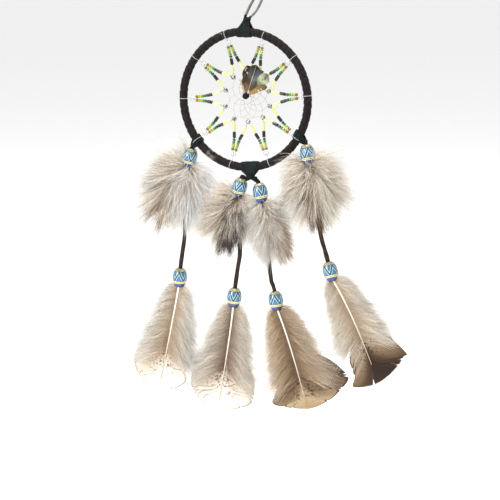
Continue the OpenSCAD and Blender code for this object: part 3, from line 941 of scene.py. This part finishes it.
def plume(rng, shaft, locks, per_lock, reach, fan, palette, flat=0.5, steps=6, droop=1.5,
          span=(0.0, 1.0), sides=(-1, 1), spread=1.0):
    """Barbs along a shaft of three points, in locks whose ends draw together.
    reach and fan are the length and the angle off the shaft at its root and its tip.
    palette is the colour at the root, the middle and the tip of a barb.
    Returns curves and tints."""
    s = np.sort(rng.uniform(*span, locks))
    root = bezier(shaft, s)
    forward = unit(bezier(shaft, s + 0.02) - bezier(shaft, s - 0.02))
    across = unit(np.cross(forward, at(0, 0, 1)))
    depth = np.cross(across, forward)
    side = rng.choice(sides, locks)
    turn = rng.normal(0, flat, locks)
    out = side[:, None] * (across * np.cos(turn)[:, None]) + depth * np.sin(turn)[:, None]
    angle = np.radians(mix(fan[0], fan[1], s) * rng.uniform(0.75, 1.15, locks))
    length = mix(reach[0], reach[1], s) * rng.uniform(0.78, 1.12, locks)
    first = forward * np.cos(angle)[:, None] + out * np.sin(angle)[:, None]
    bent = angle * 0.72
    second = forward * np.cos(bent)[:, None] + out * np.sin(bent)[:, None]
    second = second + at(0, -1) * (droop / 20)
    aim = root + first * length[:, None] * 0.5
    tip = aim + unit(second) * length[:, None] * 0.5

    def per_hair(x):
        return np.repeat(x, per_lock, axis=0)

    n = locks * per_lock
    slide = rng.normal(0, 1.3 * spread, n)[:, None]
    a = per_hair(root) + per_hair(forward) * slide
    b = per_hair(aim) + per_hair(forward) * slide * 0.9 + rng.normal(0, 0.75 * spread, (n, 3))
    c = per_hair(tip) + per_hair(forward) * slide * 0.6 + rng.normal(0, 0.7 * spread, (n, 3))
    c = mix(a, c, rng.uniform(0.72, 1.06, n)[:, None])
    t = np.linspace(0, 1, steps)[None, :, None]
    curves = (1 - t) ** 2 * a[:, None] + 2 * t * (1 - t) * b[:, None] + t * t * c[:, None]
    wave = rng.normal(0, 0.22, (n, steps, 3)) * t * (1 - 0.5 * t)
    curves = curves + wave
    low, middle, high = (np.array(x) for x in palette)
    tint = np.where(t < 0.5, mix(low, middle, t * 2), mix(middle, high, t * 2 - 1))
    tint = np.broadcast_to(tint, curves.shape)
    shade = per_hair(rng.normal(0.96, 0.15, (locks, 1, 1))) * rng.normal(1, 0.08, (n, 1, 1))
    return curves, np.clip(tint * shade, 0, 1)


BEIGE = srgb(240, 226, 206)
PALE = srgb(250, 244, 234)
WHITE = srgb(252, 252, 250)
TAN = srgb(212, 184, 148)
BROWN = srgb(146, 110, 74)
DARK = srgb(72, 48, 32)
GREY = srgb(232, 224, 212)


# Share of its free depth that the down keeps from front to back
FLATTENED = 0.5
# Hairs in each lock, and locks for each one that the rows of tufts() name
TUFT_HAIRS = 4
TUFT_LOCKS = 4


def tufts(paint):
    """The bunches of down below the upper beads. Each row is one plume: its shaft,
    its locks, its reach and fan at root and tip, and its colours."""
    bunches = [
        [(points([(-41, -46), (-50, -54), (-56, -66)]), 190, (30, 35), (118, 42),
          (BROWN, BEIGE, PALE)),
         (points([(-41, -48), (-54, -60), (-60, -70, 2)]), 120, (27, 30), (80, 20),
          (BROWN, TAN, DARK)),
         (points([(-40, -46), (-38, -58, -4), (-42, -70, -4)]), 110, (22, 28), (88, 22),
          (WHITE, WHITE, PALE)),
         (points([(-41, -46), (-53, -50, 3), (-60, -56, 4)]), 120, (26, 30), (100, 40),
          (TAN, PALE, WHITE))],
        [(points([(-5, -65), (-13, -74), (-18, -82)]), 210, (24, 28), (108, 30),
          (BROWN, BEIGE, GREY)),
         (points([(-5, -68), (-8, -80, -4), (-11, -90, -4)]), 110, (17, 20), (75, 20),
          (BROWN, DARK, DARK)),
         (points([(-4, -65), (-2, -74, 2), (-4, -84, 2)]), 90, (17, 20), (85, 24),
          (TAN, BEIGE, PALE))],
        [(points([(13, -68), (16, -80), (19, -92)]), 200, (22, 27), (108, 26),
          (TAN, PALE, GREY)),
         (points([(14, -70), (22, -84, -2), (26, -94, -2)]), 110, (17, 18), (75, 20),
          (BROWN, TAN, BROWN)),
         (points([(12, -68), (10, -80, 2), (12, -92, 2)]), 90, (17, 19), (85, 22),
          (PALE, PALE, WHITE))],
        [(points([(46, -41), (48, -52), (49, -62)]), 220, (29, 33), (118, 38),
          (BROWN, BEIGE, PALE)),
         (points([(47, -41), (56, -48, -2), (60, -56, -2)]), 120, (22, 26), (95, 35),
          (TAN, BEIGE, PALE)),
         (points([(45, -41), (39, -50, 2), (37, -58, 2)]), 110, (18, 22), (90, 30),
          (BROWN, BEIGE, PALE)),
         (points([(47, -48), (49, -60, -4), (51, -70, -4)]), 70, (16, 22), (60, 16),
          (TAN, BROWN, DARK))],
    ]
    for s, bunch in enumerate(bunches):
        rng = np.random.default_rng(100 + s)
        made = [plume(rng, shaft, locks * TUFT_LOCKS, TUFT_HAIRS, reach, fan, palette,
                      flat=0.8, steps=5, spread=1.7)
                for shaft, locks, reach, fan, palette in bunch]
        curves, tint = (np.concatenate(x) for x in zip(*made))
        curves[..., 1] *= FLATTENED
        radius = rng.uniform(0.06, 0.12, len(curves))
        piece = hairs("down_tuft_" + STRANDS[s], curves, radius, tint, paint, rng)
        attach(piece, "strand_" + STRANDS[s])
        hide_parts("tuft_" + STRANDS[s])


# ---------------------------------------------------------------- feathers

QUILLS = [
    points([(-48.9, -128), (-53.5, -152), (-63.5, -196)]),
    points([(-8.4, -138.8), (-10.5, -160), (-19, -205)]),
    points([(23.5, -138.8), (33, -160), (45, -203)]),
    points([(63, -116), (75.5, -134), (91, -171)]),
]
# Edges of the closed vanes, left then right, from the top to the tip
VANE_EDGES = [
    [[(-70, -166), (-80, -172), (-85.5, -180), (-85.5, -188), (-82, -194.5), (-76, -199.5),
      (-68, -202.5), (-61, -203)],
     [(-48, -164), (-44, -172), (-43.5, -180), (-45, -188), (-45.3, -196), (-52, -201),
      (-56, -202.4), (-61, -203)]],
    [[(-28, -176), (-37, -181), (-41.5, -190), (-42.4, -197.4), (-38, -205.2),
      (-28.7, -210.6), (-20, -212.4), (-16.4, -212.8)],
     [(-4, -176), (3, -182), (5.6, -190), (5.9, -197.6), (3.7, -206.4), (-3.5, -210.3),
      (-10, -212), (-16.4, -212.8)]],
    [[(28, -176), (23, -183), (22.5, -190), (21.8, -196.5), (18.9, -205.1), (29, -206.4),
      (38.4, -206.3), (46.3, -205.6)],
     [(52, -168), (60, -171), (68, -176.5), (73.2, -183), (67.2, -192),
      (61.4, -197.8), (52.8, -203.1), (46.3, -205.6)]],
    [[(76, -160), (74, -170), (76, -177), (77.3, -182.7), (76.6, -188.4), (87.4, -186.7),
      (96, -182.8), (103.2, -176.9)],
     [(90, -146), (99.6, -149), (104.7, -153.5), (109.7, -158), (114, -162.8),
      (111.9, -164.3), (109, -169.8), (103.2, -176.9)]],
]


def quill(name, body, node, corners, root_d, tip_d, y, paint):
    t = np.linspace(0, 1, 40)
    path = bezier(corners, t) + at(0, 0, 1) * y
    d = mix(root_d, tip_d, t ** 0.8)
    circle = oval(1, 1, 12, 1.0)
    shell = Shell()
    sweep(shell, path, circle[None] * d[:, None, None], at(0, 0, 1))
    piece = shell.build(name, paint)
    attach(piece, body)
    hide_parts(node)
    return piece


def vane(name, corners, edges, rng, paint, start=0.3, barbs=110, cup=0.10, thick=0.16,
         notches=5, waist=0.5):
    """The closed part of a feather: barbs side by side from the shaft to both edges."""
    shell = Shell()
    cols = 14
    for edge, side in zip(edges, (-1, 1)):
        rim = resampled(smooth_line(points(edge), 6), barbs * 2)
        v = np.linspace(0, 1, barbs * 2)
        s = mix(start, 0.995, v ** 0.9)
        root = bezier(corners, s)
        for place in rng.uniform(0.1, 0.95, notches):
            bite = np.clip(1 - np.abs(v - place) / 0.012, 0, 1) * rng.uniform(0.1, 0.35)
            rim = mix(rim, root, bite[:, None])
        ahead = unit(bezier(corners, s + 0.01) - bezier(corners, s - 0.01))
        aim = root + ahead * np.linalg.norm(rim - root, axis=1)[:, None] * waist
        u = np.linspace(0, 1, cols)
        sheet = bezier((root[:, None], aim[:, None], rim[:, None]), u[None])
        far = np.linalg.norm(sheet - root[:, None], axis=2)
        ridge = 0.05 * np.where(np.arange(barbs * 2) % 2, 1, -1)[:, None] * (0.3 + u)
        y = cup * far ** 1.4 / 3 + ridge + 0.35 * np.sin(v * 9 + side)[:, None] * u
        sheet[..., 1] += y
        back = sheet + at(0, 0, thick)
        rows = barbs * 2
        front_faces = grid_quads(rows, cols, wrap_cols=False)
        uv = grid_uv(rows, cols, wrap_cols=False)
        if side > 0:
            front_faces, flip = front_faces[:, ::-1], True
        else:
            flip = False
        uv_front = uv.reshape(-1, 4, 2)[:, ::-1].reshape(-1, 2) if flip else uv
        uv_back = uv if flip else uv.reshape(-1, 4, 2)[:, ::-1].reshape(-1, 2)
        verts = np.vstack([sheet.reshape(-1, 3), back.reshape(-1, 3)])
        back_faces = front_faces[:, ::-1] + rows * cols
        loop = ([r * cols for r in range(rows)]
                + [(rows - 1) * cols + c for c in range(1, cols)]
                + [r * cols + cols - 1 for r in range(rows - 2, -1, -1)]
                + list(range(cols - 2, 0, -1)))
        rim_faces, rim_uv = [], []
        for a, b in zip(loop, loop[1:] + loop[:1]):
            face = [a, b, b + rows * cols, a + rows * cols]
            spots = [((i % (rows * cols)) % cols / (cols - 1),
                      (i % (rows * cols)) // cols / (rows - 1)) for i in face]
            rim_faces.append(face[::-1] if flip else face)
            rim_uv += spots[::-1] if flip else spots
        shell.add(verts, np.vstack([front_faces, back_faces, rim_faces]),
                  uv4=np.vstack([uv_front, uv_back, rim_uv]))
    return shell.build(name, paint)


def feathers(down_paint):
    ivory = horn("ivory quill", srgb(250, 246, 234), srgb(196, 176, 140))
    cream = vane_paint(
        "cream vane",
        [(0.0, srgb(196, 182, 164)), (0.35, srgb(190, 176, 156)), (0.5, srgb(216, 205, 190)),
         (0.68, srgb(240, 235, 226)), (1.0, srgb(240, 234, 222))],
        (0.0, 0.66), srgb(112, 92, 66), edge=srgb(190, 176, 156))
    bronze = vane_paint(
        "bronze vane",
        [(0.0, srgb(140, 118, 96)), (0.3, srgb(110, 88, 68)), (0.5, srgb(124, 100, 76)),
         (0.72, srgb(186, 164, 132)), (1.0, srgb(172, 144, 106))],
        (0.0, 0.75), srgb(58, 42, 32), edge=srgb(70, 52, 38))
    banded = vane_paint(
        "banded vane",
        [(0.0, srgb(196, 184, 168)), (0.3, srgb(172, 156, 136)), (0.5, srgb(120, 98, 76)),
         (0.62, srgb(76, 56, 40)), (0.8, srgb(48, 34, 26))],
        (0.0, 0.6), srgb(60, 44, 32), edge=srgb(100, 76, 52))
    paints = [cream, cream, bronze, banded]
    starts = [0.55, 0.56, 0.52, 0.52]
    shades = [(TAN, BEIGE, WHITE), (BROWN, BEIGE, PALE), (BROWN, TAN, BEIGE),
              (TAN, BEIGE, PALE)]
    reaches = [(13, 46), (13, 44), (14, 44), (13, 40)]
    for s, name in enumerate(STRANDS):
        rng = np.random.default_rng(200 + s)
        sheet = vane("feather_vane_" + name, QUILLS[s], VANE_EDGES[s], rng, paints[s],
                     start=starts[s])
        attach(sheet, "feather_" + name)
        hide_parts("vane_" + name)
        quill("feather_quill_" + name, "feather_" + name, "quill_" + name, QUILLS[s],
              1.6, 0.4, -0.2, ivory)
        curves, tint = plume(rng, QUILLS[s], 1150, 5, reaches[s], (84, 74), shades[s],
                             flat=0.32, steps=6, droop=0.8, span=(0.02, 0.74), spread=1.6)
        curves[..., 1] *= FLATTENED
        radius = rng.uniform(0.05, 0.10, len(curves))
        fluff = hairs("feather_down_" + name, curves, radius, tint, down_paint, rng)
        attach(fluff, "feather_" + name)


# ---------------------------------------------------------------- centre feather

CENTRE_TIE = at(1.8, 2.8)
KNOT_Y = -2.2


def centre_feather(knot_paint, down_paint):
    rng = np.random.default_rng(31)
    dark = vane_paint("dark feather", [(0.0, srgb(120, 96, 66)), (0.3, srgb(54, 40, 28)),
                                       (0.7, srgb(36, 28, 24)), (1.0, srgb(20, 17, 16))],
                      (0.1, 0.9), srgb(196, 172, 124))
    green = vane_paint("mottled feather", [(0.0, srgb(90, 72, 46)), (0.35, srgb(60, 56, 40)),
                                           (0.6, srgb(176, 182, 150)), (1.0, srgb(40, 40, 30))],
                       (0.1, 0.9), srgb(30, 26, 20))
    # Slate feather: the bluish-grey stop at 0.35 is partly its own slate colour and partly a
    # painted highlight
    slate_and_highlight = vane_paint("slate feather with painted highlight", [(0.0, srgb(84, 70, 52)), (0.35, srgb(92, 98, 104)),
                                        (0.6, srgb(62, 64, 68)), (0.85, srgb(20, 18, 20))],
                      (0.1, 0.9), srgb(36, 30, 26))
    tan = vane_paint("tan feather", [(0.0, srgb(150, 116, 72)), (0.5, srgb(126, 98, 64)),
                                     (1.0, srgb(74, 56, 38))],
                     (0.1, 0.9), srgb(214, 196, 156))
    brown = vane_paint("brown feather", [(0.0, srgb(118, 94, 66)), (0.5, srgb(60, 44, 32)),
                                         (1.0, srgb(48, 34, 24))],
                       (0.1, 0.5), srgb(160, 134, 96), edge=srgb(150, 116, 78))
    fans = [
        ("centre_feather_left", [(2.2, 3.6), (1, 13), (2.6, 23)],
         [[(1, 5), (0, 13), (-0.8, 17.5), (0.2, 20), (1.5, 22), (2.6, 23)],
          [(3.5, 6), (5.8, 13), (6, 19), (4.8, 22.2), (2.6, 23)]], dark, -2.2),
        ("centre_feather_middle", [(2.8, 3.6), (6, 13), (9.6, 23.5)],
         [[(2.4, 7), (3.2, 13), (4.4, 19), (6, 22.6), (9.6, 23.5)],
          [(5, 7), (10, 14), (14.5, 18.7), (12.5, 20), (11.4, 21.4), (9.6, 23.5)]],
         slate_and_highlight, -2.6),
        ("centre_feather_right", [(3, 3.5), (10, 10), (18, 17)],
         [[(4.6, 7.5), (9, 13), (13, 17.5), (16.5, 18), (18, 17)],
          [(7, 5.6), (13, 9), (18, 12), (18.6, 14.4), (18, 17)]], green, -2.9),
        ("centre_feather_lower", [(3.2, 3.2), (10, 5.6), (17.5, 8.8)],
         [[(5, 5.5), (9, 8.5), (13, 10.6), (16, 10.6), (17.5, 8.8)],
          [(5, 3.6), (8, 4.2), (13, 6.4), (16, 7.4), (17.5, 8.8)]], tan, -3.3),
        ("centre_feather_small", [(2.4, 4), (1.6, 9), (2, 16.6)],
         [[(1, 6), (-0.6, 10), (-0.3, 14), (0.8, 16), (2, 16.6)],
          [(3.6, 6), (4.8, 10), (4.6, 14), (3.4, 16), (2, 16.6)]], brown, -3.4),
    ]
    pale = horn("pale quill", srgb(214, 202, 164), srgb(150, 130, 90))
    for name, shaft, edges, paint, y in fans:
        corners = points(shaft) + at(0, 0, 1) * y
        rows = [[(x, z, y) for x, z in edge] for edge in edges]
        sheet = vane(name, corners, rows, rng, paint, start=0.05, barbs=40, cup=0.02,
                     thick=0.12, notches=3)
        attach(sheet, "hoop")
        if name == "centre_feather_middle":
            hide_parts("centre_vane")
            quill("centre_feather_quill", "hoop", "centre_quill", corners, 0.6, 0.2, -0.15,
                  pale)
    shaft = points([(1.4, 4, -3), (-0.4, 8, -3), (-2, 13, -3)])
    curves, tint = plume(rng, shaft, 90, 5, (2.6, 1.8), (60, 30), (BEIGE, BEIGE, PALE),
                         flat=0.5, droop=0.2, spread=0.4)
    fluff = hairs("centre_fluff", curves, rng.uniform(0.04, 0.07, len(curves)), tint,
                  down_paint, rng)
    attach(fluff, "hoop")
    shell = Shell()
    knot = CENTRE_TIE + at(0, 0, KNOT_Y)
    for axis, radius in [((1, 0.4, 0.3), 1.5), ((-0.3, 0.5, 1), 1.5), ((0.4, 1, -0.6), 1.6)]:
        collar(shell, knot, np.array(axis), radius, turns=1, thick=1.5, width=1.9)
    hoop_piece(shell.build("centre_tie", knot_paint), "centre_knot")


# ---------------------------------------------------------------- everything

set_camera()
lace_suede = suede("lace suede", srgb(20, 15, 13), srgb(66, 56, 50))
hanging_loop(suede("loop suede", srgb(52, 48, 46), srgb(150, 145, 140)))
for strand in range(4):
    strand_lace(strand, lace_suede)
set_stage()

hoop_wrap(suede("hoop suede", srgb(14, 12, 12), srgb(44, 39, 38),
                scuff=in_frame(polar(HOOP_R, SCUFF_ANGLE, -HOOP_T / 2))))
bindings(suede("binding suede", srgb(8, 11, 11), srgb(34, 40, 40)))
small_beads()
web(twisted_thread("web thread", srgb(160, 148, 136), srgb(208, 198, 186)))
clear_thread = twisted_thread("bead thread", srgb(150, 152, 150), srgb(220, 222, 220))
bead_thread(clear_thread)
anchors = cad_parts["anchor_threads"]
anchors.data.materials.clear()
anchors.data.materials.append(clear_thread)
egg_beads(painted_bead("bead glaze"))
down_paint = downy("down")
tufts(down_paint)
feathers(down_paint)
centre_feather(suede("knot suede", srgb(8, 8, 16), srgb(34, 32, 44)), down_paint)
